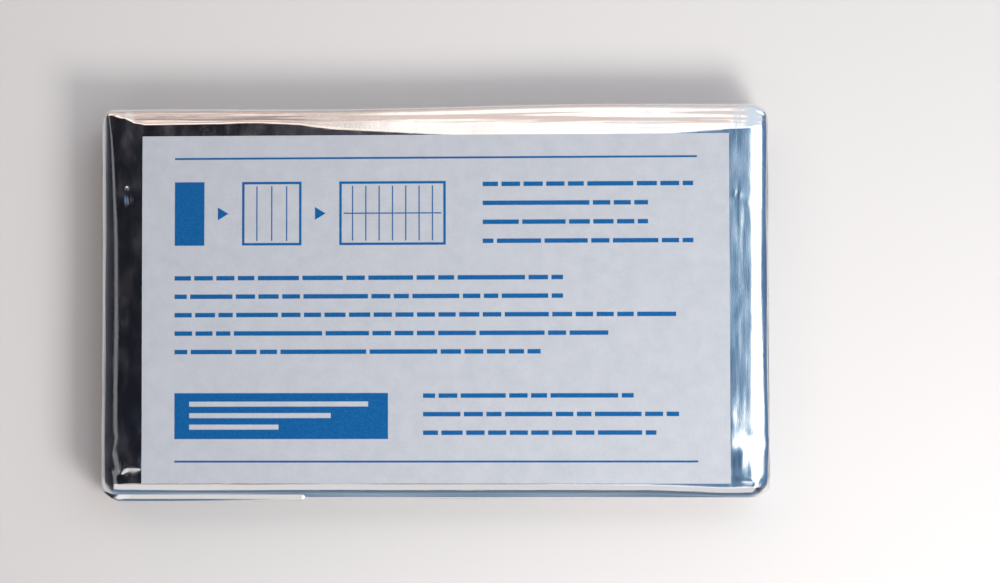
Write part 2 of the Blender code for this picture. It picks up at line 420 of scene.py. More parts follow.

# %% [markdown]
# ## Creases of the front
#
# The main creases of the front are placed one by one, as soft troughs and ridges, in
# millimetres: the crumpled corners, the marks a fingernail left, the slopes of the right
# border and the long pull along the back. Each fades out along its length and across its
# width. Between them are many small dents, which are left to chance. All of them bend
# the outer ply and fade with depth, so the plies below never come through.

# %% Creases of the front
CREASES = (
    # x, y, length, width, height, turn in degrees: all in mm, a trough is negative
    (-61.8, 23.2, 1.1, 0.26, 0.13, 92),
    (-61.8, 20.7, 4, 0.26, -0.1, 94),
    (-60.8, 21, 3.8, 0.26, -0.055, 90),
    (-59.8, -32.4, 9, 1.75, 0.3, 5),
    (-64.6, -29.6, 5, 0.7, 0.1, 62),
    (-65.2, -27, 4, 0.5, -0.12, 24),
    (-64.2, -33.6, 5, 0.6, -0.14, -34),
    (-62.4, -34.6, 5, 0.5, -0.1, 40),
    (63, -35.4, 8, 0.8, 0.22, -7),
    (64.2, -36.4, 5, 0.6, 0.18, 62),
    (62.6, -26.2, 6, 0.5, -0.12, -4),
    (59.4, -23.6, 21, 2.4, 0.12, 90),
    (63.9, -23.6, 21, 2.6, -0.19, 90),
    (59.4, -11, 16, 2.4, 0.04, 90),
    (63.9, -11, 16, 2.6, -0.06, 90),
    (59.4, 28.5, 15, 2.8, 0.1, 90),
    (59.4, 6.5, 26, 2.4, -0.03, 90),
    (63.9, 6.5, 26, 2.6, 0.04, 90),
    (59.4, -28.2, 4.2, 2.4, 0.19, 90),
    (63.9, -28.2, 4.2, 2.6, -0.36, 90),
    (61.4, -31.6, 6.4, 1.6, 0.19, 90),
    (60.3, 21.6, 2.4, 0.35, 0.04, 84),
    (61.3, 21.2, 2.4, 0.35, 0.04, 88),
    (60.8, 9, 11, 0.7, 0.01, 93),
    (61.6, -8, 14, 0.6, -0.012, 88),
    (38, 37.2, 78, 0.85, -0.2, -1),
    (20, 38.2, 60, 0.4, -0.06, 1),
    (48, 35.2, 30, 0.4, -0.03, 1),
    (-56, 38.1, 12, 0.35, -0.035, 1),
    (-46, 37.6, 16, 0.35, -0.035, -2),
    (-28, 37.2, 24, 0.35, -0.035, 2),
)
DENTS = 240
DENT_HEIGHT = 0.011 * MM
DENTS_AT_LEFT = 0.3
LEFT_SHARE = 0.06
DENT_SPREAD = 40
DENT_X, DENT_X_RANGE = 58.8 * MM, 5.5 * MM
DENT_Y, DENT_Y_RANGE = -37 * MM, 74 * MM
DENT_WIDTH, WIDTH_RANGE = 0.4 * MM, 0.9 * MM
DENT_LENGTH, LENGTH_RANGE = 0.7 * MM, 2.4 * MM
RIGHT_FALL = 0.07 * MM
FALL_START, FALL_END = 58.5 * MM, 63.5 * MM
FALL_CENTRE, FALL_PERIOD = 33 * MM, 62 * MM
FALL_SHARE = 0.45
CREST_ROUNDING = 0.22
FLANK_FALL = 1.2


def crease_height(x, y):
    """How far the creases lift the front film at a place. Their crests are crisp."""
    total = np.zeros_like(x)
    for place_x, place_y, length, width, height, turn in CREASES:
        angle = math.radians(turn)
        dx, dy = x - place_x * MM, y - place_y * MM
        lengthways = (dx * math.cos(angle) + dy * math.sin(angle)) / (length * MM)
        crossways = (dy * math.cos(angle) - dx * math.sin(angle)) / (width * MM)
        fade = np.cos(math.pi * np.clip(lengthways, -0.5, 0.5)) ** 2
        away = np.sqrt(crossways ** 2 + CREST_ROUNDING ** 2) - CREST_ROUNDING
        total += height * MM * fade * np.exp(-FLANK_FALL * away)
    return total


def scatter_dents():
    """Place, size and height of each dent, by chance."""
    dents = []
    for across, along, wide, tall, chance in np.random.default_rng(5).uniform(0, 1, (DENTS, 5)):
        side, share = (1, 1) if chance > DENTS_AT_LEFT else (-1, LEFT_SHARE)
        place = side * (DENT_X + DENT_X_RANGE * across), DENT_Y + DENT_Y_RANGE * along
        size = DENT_WIDTH + WIDTH_RANGE * wide ** 2, DENT_LENGTH + LENGTH_RANGE * tall ** 2
        height = 2 * DENT_HEIGHT * share * math.sin(DENT_SPREAD * chance)
        dents.append((*place, *size, height))
    return dents


dents = scatter_dents()


def dent_height(x, y):
    """The two borders beside the paper: a slight fall to the right, and soft dents."""
    strength = FALL_SHARE * (1 + np.cos(2 * math.pi * (y - FALL_CENTRE) / FALL_PERIOD))
    total = -RIGHT_FALL * strength * past(x, FALL_START, FALL_END) ** 2
    for place_x, place_y, size_x, size_y, height in dents:
        total += height * np.exp(-((x - place_x) / size_x) ** 2 - ((y - place_y) / size_y) ** 2)
    return total


print("creases:", len(CREASES), "and dents:", len(dents))

# %% [markdown]
# ## Pulls and the nose of the fold
#
# Film that is bent round a pile shows long fine pulls beside the bend. They are sums
# of sines that drift slowly along the fold. The top fold at the back is also squarer
# than the ones below it, because it was pressed by a thumb along its whole length. A
# superellipse gives such a nose with one number.

# %% Pulls along the folds
NOSE_POWER = 2.5
NOSE_LOFT = 0.16 * MM
OUTER_RADIUS = BEND_RADIUS + LEAF_THICKNESS / 2
BEND_PULL = 0.05 * MM
TOP_PULL = 0.02 * MM
LIP_PULL = 0.012 * MM
SHOULDER_PULL = 0.010 * MM
FINER_SHARE = 0.35
PULL_PITCH = 0.95 * MM
FINER_PITCH = PULL_PITCH / 2.35
PULL_START, PULL_FULL = 0.25 * MM, 0.9 * MM
BEVEL_RUN = 0.34 * MM
BEVEL_SLOPE = math.tan(math.radians(9))
BEVEL_KEPT, BEVEL_END = 0.5 * MM, 2.5 * MM


def slow_wave(x, period, phase):
    """A wave along the pack."""
    return np.sin(2 * math.pi * x / period + phase)


def nose_height(share):
    """How far the squarer top fold stands outside a round one."""
    angle = math.pi * (share - 0.5)
    if angle < 0:
        return NOSE_LOFT * past(share, 0, 0.5) ** 2
    squares = math.cos(angle) ** NOSE_POWER + math.sin(angle) ** NOSE_POWER
    loft = NOSE_LOFT * math.sin(math.pi / 2 * past(share, 1, 0.6)) ** 2
    return OUTER_RADIUS * (squares ** (-1 / NOSE_POWER) - 1) + loft


def ripple_height(kind, number, share, x):
    """Long soft pulls that run along the folds."""
    if kind == "bend":
        height = TOP_PULL if number == TOP_TURN else BEND_PULL
        drift = 1.1 * slow_wave(x, 61 * MM, number) + 1.9 * number
        pulls = height * math.sin(math.pi * share) * np.sin(7.5 * share + drift)
        return pulls + (nose_height(share) if number == TOP_TURN else 0)
    if kind == "lip":
        return LIP_PULL * share * np.sin(6 * share + slow_wave(x, 36 * MM, 0))
    return 0 * x


def shoulder_pulls(x, y):
    """The same pulls where the front film slopes down to its back fold."""
    past_shoulder = y - back_shoulder(x)
    slope = past(past_shoulder, PULL_START, PULL_FULL)
    drift = 2.2 * slow_wave(x, 74 * MM, 0.6) + 1.1 * slow_wave(x, 23 * MM, 1.9)
    fine = np.sin(2 * math.pi * y / PULL_PITCH + drift)
    finer = np.sin(2 * math.pi * y / FINER_PITCH - 1.7 * drift)
    pulls = SHOULDER_PULL * slope * (fine + FINER_SHARE * finer)
    bevel = past(past_shoulder, -BEVEL_RUN, 0) * (1 - past(past_shoulder, BEVEL_KEPT, BEVEL_END))
    return pulls - BEVEL_RUN * BEVEL_SLOPE * bevel


print("the squarer fold stands out in mm:", round(nose_height(0.75) / MM, 2))

# %% [markdown]
# ## Folding the sheet
#
# Now every row is laid in its place, all columns at once. The slow unevenness of the
# leaves fades to nothing near the underside, so the pack still lies flat.

# %% Lay every row
LAST_SHORT_PLY = 9
CUT_JITTER = 0.05
LEAF_SAG = 0.09 * MM
END_SPREAD = 0.12 * MM
SPREAD_RUN = 9 * MM
STEADY_HEIGHT = 3 * MM
RELIEF_DEPTH = 0.6 * LEAF_THICKNESS
LIP_PRESS_Y = -36.6 * MM
TOP_FADE = 0.6


def uneven(x, y, z, leaf):
    """A slow rise and fall that differs from leaf to leaf, stronger at the ends."""
    sag = np.sin(x / (7.5 * MM) + 1.7 * leaf) * np.sin(y / (9.7 * MM) + 0.8 * leaf + 0.4)
    spread = np.sin(y / ((5 + 0.45 * leaf) * MM) + 2.1 * leaf)
    near_end = past(np.abs(x), HALF - SPREAD_RUN, HALF)
    amount = LEAF_SAG * sag + END_SPREAD * near_end * spread
    return amount * past(z, 0, STEADY_HEIGHT)


def lay(row, cols, along_sheet):
    """The places of one row's points."""
    half, kind, number, share, _ = row
    ply, across, depth, out = cols.T
    leaf = {"leaf": number, "lip": LEAVES - 1, "bend": number - 1 + share, "nose": 0}[kind]
    left = np.interp(leaf, leaf_numbers, SHORT_LEFT)
    right = np.interp(leaf, leaf_numbers, SHORT_RIGHT)
    stops = [[setback(half, p, side, along_sheet) for side in (False, True)] for p in range(PLIES)]
    stops = np.array(stops)[ply.astype(int)]
    start, end = left + stops[:, 0] - HALF, HALF - right - stops[:, 1]
    x = start + (end - start) * across + out
    stepped = 1 - past(across, *STEP_SHARES)
    lowered = stepped * np.where((half < 0) | (ply > LAST_SHORT_PLY), 1.0, 0.0)
    offset = LEAF_THICKNESS / 2 - depth
    if kind == "nose":
        angle = math.pi * share
        middle_y = reach(0, x) - LEAF_THICKNESS / 2
        middle_z = leaf_height(0) + 0 * x
        normal_y, normal_z = math.sin(angle) + 0 * x, math.cos(angle) + 0 * x
    else:
        if kind == "leaf":
            middle = on_leaf(number, share, x)
        elif kind == "bend":
            middle = round_bend(number, share, x)
        else:
            cut = share * (1 - CUT_JITTER * fold_noise[0, ply.astype(int), 0])
            middle = on_lip(cut, x, lowered, stepped)
        middle_y, middle_z, normal_y, normal_z = middle
        normal_y, normal_z = half * normal_y, half * normal_z
    relief = ripple_height(kind, number, share, x)
    in_front = kind == "lip" or kind == "leaf" and number == LEAVES - 1
    top_fold = kind == "bend" and number == TOP_TURN
    if half > 0 and (in_front or top_fold):
        creased = crease_height(x, middle_y) + dent_height(x, middle_y)
        creased = creased + shoulder_pulls(x, middle_y)
        relief = relief + creased * (past(share, TOP_FADE, 1) if top_fold else 1)
    offset = offset + relief * np.clip(1 - depth / RELIEF_DEPTH, 0, 1)
    pressed_y = middle_y
    if kind == "lip":
        pressed_y = np.maximum(middle_y, LIP_PRESS_Y - lip_shift(x))
    y = middle_y + offset * normal_y
    z = (middle_z + offset * normal_z) * height_factor(x, pressed_y)
    return np.stack((x, y, z + uneven(x, y, z, leaf)), axis=1)


def lay_rows(numbers, cols):
    """All the points of the given rows, as an array of rows by columns by three."""
    return np.array([lay(rows[i], cols, along_rows[i]) for i in numbers])


along_rows = np.zeros(len(rows))
middle_column = np.array([[0, 0.5, 0, 0]])
track = lay_rows(range(len(rows)), middle_column)[:, 0]
along_rows = np.concatenate(((0,), np.cumsum(np.linalg.norm(np.diff(track, axis=0), axis=1))))
outer_points = lay_rows(range(len(rows)), columns[:fine_count])
inner_points = lay_rows(coarse_rows, columns[fine_count:])
print("length along the folded ribbon in m:", round(along_rows[-1], 3))

# %% [markdown]
# ## From points to a mesh
#
# A sheet with this many folds can't be modelled by hand, so its faces are listed in
# code. The outer ply has every row and the inner plies only the coarse ones. Where they
# meet, one many-sided face fills each coarse step, and the sheet stays in one piece.

# %% Build the film
fine_rows, inner_rows = len(rows), len(coarse_rows)
inner_count = len(columns) - fine_count
first_inner = fine_rows * fine_count
points = np.concatenate((outer_points.reshape(-1, 3), inner_points.reshape(-1, 3)))
faces = []
for r in range(fine_rows - 1):
    a = r * fine_count
    b = a + fine_count
    faces += [(a + c, b + c, b + c + 1, a + c + 1) for c in range(fine_count - 1)]
for r in range(inner_rows - 1):
    a = first_inner + r * inner_count
    b = a + inner_count
    faces += [(a + c, b + c, b + c + 1, a + c + 1) for c in range(inner_count - 1)]
    rim = [i * fine_count + fine_count - 1 for i in range(coarse_rows[r], coarse_rows[r + 1] + 1)]
    faces.append((*rim, b, a))

film_mesh = bpy.data.meshes.new("pleated_film")
film_mesh.from_pydata(points.tolist(), [], faces)
film_mesh.validate()
film_mesh.shade_smooth()
film = bpy.data.objects.new("pleated_film", film_mesh)
bpy.context.scene.collection.objects.link(film)
film_mesh.calc_loop_triangles()
print("triangles of the film:", len(film_mesh.loop_triangles))

# %% [markdown]
# ## A flat map of the film
#
# When a part is exported, its finish is painted onto a flat map. An automatic map would
# give the 288 hidden layers as much room as the front. Rows and columns already make a
# grid, so we lay the map out on that grid, and give the film that shows most of it.

# %% Lay out the map
HIDDEN_WEIGHT = 0.12
OUTER_MAP = 0.8

row_weights = []
for half, kind, number, share, _ in rows:
    shows = kind in ("bend", "lip", "nose") or half > 0 and number == LEAVES - 1
    row_weights.append(1.0 if shows else HIDDEN_WEIGHT)
steps = np.linalg.norm(np.diff(track, axis=0), axis=1)
steps = steps * (np.array(row_weights[1:]) + np.array(row_weights[:-1])) / 2
map_v = np.concatenate(((0,), np.cumsum(steps)))
map_v = map_v / map_v[-1]
outer_u = outer_shares * OUTER_MAP
inner_u = OUTER_MAP + (1 - OUTER_MAP) * np.arange(1, inner_count + 1) / inner_count
outer_map = np.stack(np.broadcast_arrays(outer_u[None, :], map_v[:, None]), axis=2)
inner_map = np.stack(np.broadcast_arrays(inner_u[None, :], map_v[coarse_rows][:, None]), axis=2)
places = np.concatenate((outer_map.reshape(-1, 2), inner_map.reshape(-1, 2)))
corner_points = np.zeros(len(film_mesh.loops), dtype=np.int32)
film_mesh.loops.foreach_get("vertex_index", corner_points)
film_map = film_mesh.uv_layers.new(name="OFBake")
film_map.uv.foreach_set("vector", places[corner_points].astype(np.float32).ravel())
print("map points:", len(places))

# %% [markdown]
# ## The mirror film
#
# The film is plastic with a skin of aluminium. We will build its finish from nodes, and
# the same few kinds of node come up again and again. These helpers add a node and join
# it up in one line, so the finishes below read like a recipe.

# %% Helpers for nodes
def new_node(tree, kind, **settings):
    """Add a node to a tree and set its own options."""
    node = tree.nodes.new(kind)
    for name, value in settings.items():
        setattr(node, name, value)
    return node


def feed(tree, socket, value):
    """Put a number, a vector or another node's output into a socket."""
    if isinstance(value, bpy.types.NodeSocket):
        tree.links.new(value, socket)
    else:
        socket.default_value = value


def maths(tree, operation, *values):
    """The output of a Math node."""
    node = new_node(tree, "ShaderNodeMath", operation=operation)
    for socket, value in zip(node.inputs, values):
        feed(tree, socket, value)
    return node.outputs["Value"]


def ramp(tree, value, low, high, low_result=0.0, high_result=1.0):
    """The output of a Map Range node, which stops at its two ends."""
    node = new_node(tree, "ShaderNodeMapRange")
    numbers = (value, low, high, low_result, high_result)
    for name, number in zip(("Value", "From Min", "From Max", "To Min", "To Max"), numbers):
        feed(tree, node.inputs[name], number)
    return node.outputs["Result"]


def parts(tree, vector):
    """The X, Y and Z outputs of a vector."""
    node = new_node(tree, "ShaderNodeSeparateXYZ")
    tree.links.new(vector, node.inputs["Vector"])
    return node.outputs


def add_bump(tree, shader, height, strength, distance):
    """Make a shader's surface follow a height."""
    bump = new_node(tree, "ShaderNodeBump")
    bump.inputs["Strength"].default_value = strength
    bump.inputs["Distance"].default_value = distance
    tree.links.new(height, bump.inputs["Height"])
    tree.links.new(bump.outputs["Normal"], shader.inputs["Normal"])


def grain(tree, place, sizes, detail):
    """A noise whose lumps have the given sizes along X, Y and Z."""
    stretch = new_node(tree, "ShaderNodeMapping")
    stretch.inputs["Scale"].default_value = [1 / size for size in sizes]
    tree.links.new(place, stretch.inputs["Vector"])
    noise = new_node(tree, "ShaderNodeTexNoise")
    noise.inputs["Scale"].default_value = 1.0
    noise.inputs["Detail"].default_value = detail
    tree.links.new(stretch.outputs["Vector"], noise.inputs["Vector"])
    return noise.outputs["Fac"]


def new_finish(name, base, metallic):
    """A material with its tree, shader and the object's own coordinates."""
    finish = bpy.data.materials.new(name)
    finish.use_nodes = True
    tree = finish.node_tree
    shader = tree.nodes["Principled BSDF"]
    shader.inputs["Base Color"].default_value = (*base, 1)
    shader.inputs["Metallic"].default_value = metallic
    place = new_node(tree, "ShaderNodeTexCoord").outputs["Object"]
    return finish, tree, shader, place


# %% [markdown]
# ## Grain and haze
#
# A metallic Principled shader mirrors, and a low roughness gives the soft blur of thin
# foil. Its colour is the same everywhere, so it's set on the socket. What changes over
# the surface is the grain, fine pulls that run up and down the flat front and along the
# folds at its two long edges, and the haze, dull and clear patches a few millimetres
# wide. Stretched noises make them, and the distance from the middle decides which grain
# the bump reads. The noises read object coordinates, so they stay put on the film.

# %% Film finish
FILM_COLOUR = (0.86, 0.865, 0.88)
ALONG_FRONT = (0.30 * MM, 7 * MM, 3 * MM)
FINE_FRONT = (0.20 * MM, 0.9 * MM, 0.6 * MM)
ALONG_BENDS = (9 * MM, 0.28 * MM, 0.28 * MM)
HAZE = (2.4 * MM, 5 * MM, 2.4 * MM)
HAZE_RANGE = (0.35, 0.7)
ROUGHNESS_RANGE = (0.075, 0.17)
LONG_SHARE, FINE_SHARE = 0.55, 0.75
BENDS_START, BENDS_FULL = 34.0 * MM, 36.5 * MM
GRAIN_STRENGTH = 0.6
GRAIN_HEIGHT = 0.021 * MM

film_finish, tree, shader, place = new_finish("metallised_film_finish", FILM_COLOUR, 1.0)
from_middle = maths(tree, "ABSOLUTE", parts(tree, place)["Y"])
at_bends = ramp(tree, from_middle, BENDS_START, BENDS_FULL)
long_grain = maths(tree, "MULTIPLY", grain(tree, place, ALONG_FRONT, 5), LONG_SHARE)
fine_grain = grain(tree, place, FINE_FRONT, 4)
front_grain = maths(tree, "MULTIPLY_ADD", fine_grain, FINE_SHARE, long_grain)
bend_grain = grain(tree, place, ALONG_BENDS, 5)
difference = maths(tree, "SUBTRACT", bend_grain, front_grain)
height = maths(tree, "MULTIPLY_ADD", difference, at_bends, front_grain)
add_bump(tree, shader, height, GRAIN_STRENGTH, GRAIN_HEIGHT)
haze = ramp(tree, grain(tree, place, HAZE, 3), *HAZE_RANGE, *ROUGHNESS_RANGE)
tree.links.new(haze, shader.inputs["Roughness"])
film_mesh.materials.append(film_finish)
print("nodes in the film's tree:", len(tree.nodes))

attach(film, "root")
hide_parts("foil_sheet")

# %% [markdown]
# ## The paper leaf
#
# A printed sheet of paper lies on the front. A stiff sheet doesn't need a simulation.
# It starts as a flat grid of its own size, and each point is then dropped onto the film,
# so it follows the gentle swell of the pack and lifts a little along its front edge.
# Solidify gives it the thickness of paper.

# %% Model the paper
LABEL_LEFT = -58.6 * MM
LABEL_RIGHT = 59.2 * MM
LABEL_FRONT = -36.1 * MM
LABEL_BACK = 33.7 * MM
LABEL_SIZE = (LABEL_RIGHT - LABEL_LEFT, LABEL_BACK - LABEL_FRONT)
PAPER = 0.12 * MM
PAPER_CLEARANCE = 0.18 * MM
PAPER_LIFT = 0.22 * MM
LIFT_START = -20 * MM
PAPER_WAVE = 0.05 * MM
STEPS_X, STEPS_Y = 72, 44
SHARP_ANGLE = math.radians(40)

bpy.ops.object.select_all(action="DESELECT")
bpy.ops.mesh.primitive_grid_add(x_subdivisions=STEPS_X, y_subdivisions=STEPS_Y, size=1)
label = bpy.context.object
label.name = "printed_leaf"
label_points = np.zeros(len(label.data.vertices) * 3)
label.data.vertices.foreach_get("co", label_points)
label_points = label_points.reshape(-1, 3)
label_x = LABEL_LEFT + (label_points[:, 0] + 0.5) * LABEL_SIZE[0]
label_y = LABEL_FRONT + (label_points[:, 1] + 0.5) * LABEL_SIZE[1]
lift = PAPER_LIFT * past(label_y, LIFT_START, LABEL_FRONT) ** 2
wave = PAPER_WAVE * np.sin(label_x / (11 * MM)) * np.sin(label_y / (13 * MM) + 1)
label_z = stack_top * height_factor(label_x, label_y) + PAPER_CLEARANCE + lift + wave
label.data.vertices.foreach_set("co", np.stack((label_x, label_y, label_z), axis=1).ravel())
label.data.update()
thicken = label.modifiers.new("paper", "SOLIDIFY")
thicken.thickness = PAPER
thicken.offset = 1
bpy.ops.object.modifier_apply(modifier=thicken.name)
bpy.ops.object.shade_smooth_by_angle(angle=SHARP_ANGLE)
print("paper in mm:", [round(side / MM, 1) for side in LABEL_SIZE])

# %% [markdown]
# ## The print
#
# A real leaf is printed with a name and small rows of words in one mid blue. A shared
# part carries no words, so this print is plain: three little drawings of a sheet being
# unfolded, a solid band with light bars in it, and rows of thin bars of the scale of
# small print. We could model each shape, or paint an image. Here every shape is a mask,
# a number that is 1 on the ink and 0 off it, worked out from the place on the paper in
# metres, so it is sharp at any size.

# %% Masks for printing
SOFT_EDGE = 0.05 * MM
PAPER_COLOUR = (0.56, 0.60, 0.66)

paper_finish, tree, shader, place = new_finish("label_paper_finish", PAPER_COLOUR, 0.0)
ACROSS, UP, _ = parts(tree, place)


def between(value, low, high):
    """1 where a value lies between two ends, with a soft edge."""
    middle, half = (low + high) / 2, (high - low) / 2
    away = maths(tree, "ABSOLUTE", maths(tree, "SUBTRACT", value, middle))
    return ramp(tree, away, half + SOFT_EDGE, half - SOFT_EDGE)


def both(first, second):
    """1 where two masks are both 1."""
    return maths(tree, "MULTIPLY", first, second)


def either(masks):
    """The highest of several masks."""
    joined = masks[0]
    for mask in masks[1:]:
        joined = maths(tree, "MAXIMUM", joined, mask)
    return joined


def without(mask, hole):
    """A mask with a hole cut in it."""
    return both(mask, maths(tree, "SUBTRACT", 1.0, hole))


def block(left, right, low, high):
    """A solid rectangle, its sides given in mm from the middle of the pack."""
    return both(between(ACROSS, left * MM, right * MM), between(UP, low * MM, high * MM))


def outline(left, right, low, high, line):
    """The outline of a rectangle."""
    inner = block(left + line, right - line, low + line, high - line)
    return without(block(left, right, low, high), inner)

# %% [markdown]
# ## Rows of bars
#
# Small print is a grey texture from any distance: rows of equal height, broken into
# lengths that differ. Each row is cut by the cells of a one-dimensional Voronoi texture,
# whose edges are about as far apart as the gaps between words. Some gaps are skipped by
# chance, which joins two cells into a longer bar.

# %% Rows of bars
WORD_PITCH = 4.5
ROW_START, ROW_END = 0.05, 0.4
ROW_TOP = 0.1
RAGGED = 0.3
ROW_SHIFT, SEED_SHIFT = 31.0, 7
CUT_EDGES = (0.085, 0.065)
SKIPPED = 0.25


def by_chance(number):
    """A number from 0 to 1 that is always the same for the same number."""
    node = new_node(tree, "ShaderNodeTexWhiteNoise", noise_dimensions="1D")
    feed(tree, node.inputs["W"], number)
    return node.outputs["Value"]


def bar_rows(left, right, top, count, pitch, height, seed):
    """Rows of bars as long as words are, with a ragged right end."""
    down = maths(tree, "DIVIDE", maths(tree, "SUBTRACT", top * MM, UP), pitch * MM)
    row = maths(tree, "FLOOR", down)
    in_row = maths(tree, "MULTIPLY", maths(tree, "SUBTRACT", down, row), pitch * MM)
    all_rows = between(UP, (top - count * pitch) * MM, top * MM)
    line = both(between(in_row, ROW_TOP * MM, (ROW_TOP + height) * MM), all_rows)

    words = maths(tree, "DIVIDE", maths(tree, "SUBTRACT", ACROSS, left * MM), WORD_PITCH * MM)
    most = math.floor((right - left) / WORD_PITCH - ROW_END)
    chance = by_chance(maths(tree, "ADD", row, seed))
    fewer = maths(tree, "FLOOR", maths(tree, "MULTIPLY", chance, RAGGED * most))
    last = maths(tree, "SUBTRACT", most + ROW_END - ROW_START, fewer)
    started = ramp(tree, words, -0.01, 0.01)
    going = ramp(tree, maths(tree, "SUBTRACT", last, words), 0, 0.02)

    # The cells lie near whole numbers, so their edges never fall on a row's two ends.
    shift = maths(tree, "MULTIPLY_ADD", row, ROW_SHIFT, ROW_START + SEED_SHIFT * seed)
    cell = maths(tree, "ADD", words, shift)
    cells = new_node(
        tree, "ShaderNodeTexVoronoi", voronoi_dimensions="1D", feature="DISTANCE_TO_EDGE"
    )
    cells.inputs["Scale"].default_value = 1.0
    cells.inputs["Randomness"].default_value = 0.5
    feed(tree, cells.inputs["W"], cell)
    number = maths(tree, "FLOOR", maths(tree, "SUBTRACT", cell, 0.25))
    kept = maths(tree, "GREATER_THAN", by_chance(number), SKIPPED)
    cut = both(ramp(tree, cells.outputs["Distance"], *CUT_EDGES), kept)
    return without(both(both(line, started), going), cut)

# %% [markdown]
# ## Three little drawings
#
# The drawings show the pack, the sheet half open, and the whole sheet with its creases.
# A table gives their sides and how many creases each has. Arrow heads point from one
# to the next.

# %% The drawings of the sheet
LINE = 0.5
DRAWING_LOW, DRAWING_HIGH = 11.6, 24.4
DRAWINGS = (
    # left, right, creases upright, creases level: the pack, half open, and the sheet
    (-52.0, -46.0, 0, 0),
    (-38.4, -26.4, 3, 0),
    (-18.8, 2.6, 7, 1),
)
CREASE_INSET = 0.9
ARROW = 2.2
ARROW_SLOPE = 0.6


def arrow_head(tip, middle):
    """A small solid triangle that points right."""
    back_from_tip = maths(tree, "SUBTRACT", tip * MM, ACROSS)
    off_middle = maths(tree, "ABSOLUTE", maths(tree, "SUBTRACT", UP, middle * MM))
    half_height = maths(tree, "MULTIPLY", back_from_tip, ARROW_SLOPE)
    room = maths(tree, "SUBTRACT", half_height, off_middle)
    return both(between(ACROSS, (tip - ARROW) * MM, tip * MM), ramp(tree, room, 0, SOFT_EDGE))


masks = [block(DRAWINGS[0][0], DRAWINGS[0][1], DRAWING_LOW, DRAWING_HIGH)]
for left, right, upright, level in DRAWINGS[1:]:
    masks.append(outline(left, right, DRAWING_LOW, DRAWING_HIGH, LINE))
    low, high = DRAWING_LOW + CREASE_INSET, DRAWING_HIGH - CREASE_INSET
    for i in range(upright):
        at = left + (right - left) * (i + 1) / (upright + 1)
        masks.append(block(at - LINE / 4, at + LINE / 4, low, high))
    for i in range(level):
        at = DRAWING_LOW + (DRAWING_HIGH - DRAWING_LOW) * (i + 1) / (level + 1)
        masks.append(block(left + CREASE_INSET, right - CREASE_INSET, at - LINE / 4, at + LINE / 4))
for before, after in zip(DRAWINGS, DRAWINGS[1:]):
    tip = (before[1] + after[0]) / 2 + ARROW / 2
    masks.append(arrow_head(tip, (DRAWING_LOW + DRAWING_HIGH) / 2))
print("masks in the drawings:", len(masks))

# %% [markdown]
# ## The rest of the layout
#
# A printed leaf keeps to its margins. Two thin rules close it at the top and the
# bottom, the rows and the solid band start on the same margin as the first drawing, and
# the joined mask is the highest of them all.

# %% The band, the rules and the rows
MARGIN_LEFT, MARGIN_RIGHT = -52.0, 52.8
BAND = (MARGIN_LEFT, -9.0, -27.2, -18.0)
BAND_BAR = 1.0
BAND_INSET, BAND_DROP, BAND_PITCH = 3.0, 1.7, 2.3
BAND_BAR_ENDS = (-13.0, -20.5, -31.0)
RULES = ((28.9, 29.3), (-31.9, -31.5))
BAR_HEIGHT = 0.9
BAR_ROWS = (
    # left, top, rows, pitch, seed
    (10.0, 24.3, 4, 3.8, 1),
    (MARGIN_LEFT, 5.6, 5, 3.7, 2),
    (-2.0, -18.0, 3, 3.7, 3),
)

band_bars = []
for i, end in enumerate(BAND_BAR_ENDS):
    top = BAND[3] - BAND_DROP - BAND_PITCH * i
    band_bars.append(block(BAND[0] + BAND_INSET, end, top - BAND_BAR, top))
masks.append(without(block(*BAND), either(band_bars)))
for low, high in RULES:
    masks.append(block(MARGIN_LEFT, MARGIN_RIGHT, low, high))
for left, top, count, pitch, seed in BAR_ROWS:
    masks.append(bar_rows(left, MARGIN_RIGHT, top, count, pitch, BAR_HEIGHT, seed))
ink = either(masks)
print("masks in all:", len(masks))

# %% [markdown]
# ## Ink and fibres
#
# Paper isn't one flat white. It has fine fibres and slightly grey clouds, and ink sits
# on it thinner where the fibres stand up. Two noises give both, and they also drive the
# bump, so the light catches the same fibres. The joined mask mixes paper with ink.

# %% Ink and paper
PAPER_DARK = (0.425, 0.445, 0.490, 1)
PAPER_LIGHT = (0.480, 0.500, 0.540, 1)
INK_BLUE = (0.0, 0.085, 0.270, 1)
INK_THIN = (0.008, 0.125, 0.330, 1)
MOTTLE = (2.6 * MM, 2.6 * MM, 2.6 * MM)
FIBRE = (0.5 * MM, 0.22 * MM, 0.3 * MM)
FIBRE_SHARE, MOTTLE_SHARE = 0.45, 0.55
CLOUDY_RANGE, INK_RANGE = (0.35, 0.65), (0.45, 0.75)
PAPER_ROUGHNESS, INK_ROUGHNESS = 0.72, 0.5
PAPER_SHINE = 0.2
FIBRE_STRENGTH = 0.5
FIBRE_HEIGHT = 0.02 * MM


def mixed(amount, first, second):
    """A colour part of the way from the first to the second."""
    node = new_node(tree, "ShaderNodeMix", data_type="RGBA")
    feed(tree, node.inputs["Factor"], amount)
    feed(tree, node.inputs["A"], first)
    feed(tree, node.inputs["B"], second)
    return node.outputs["Result"]


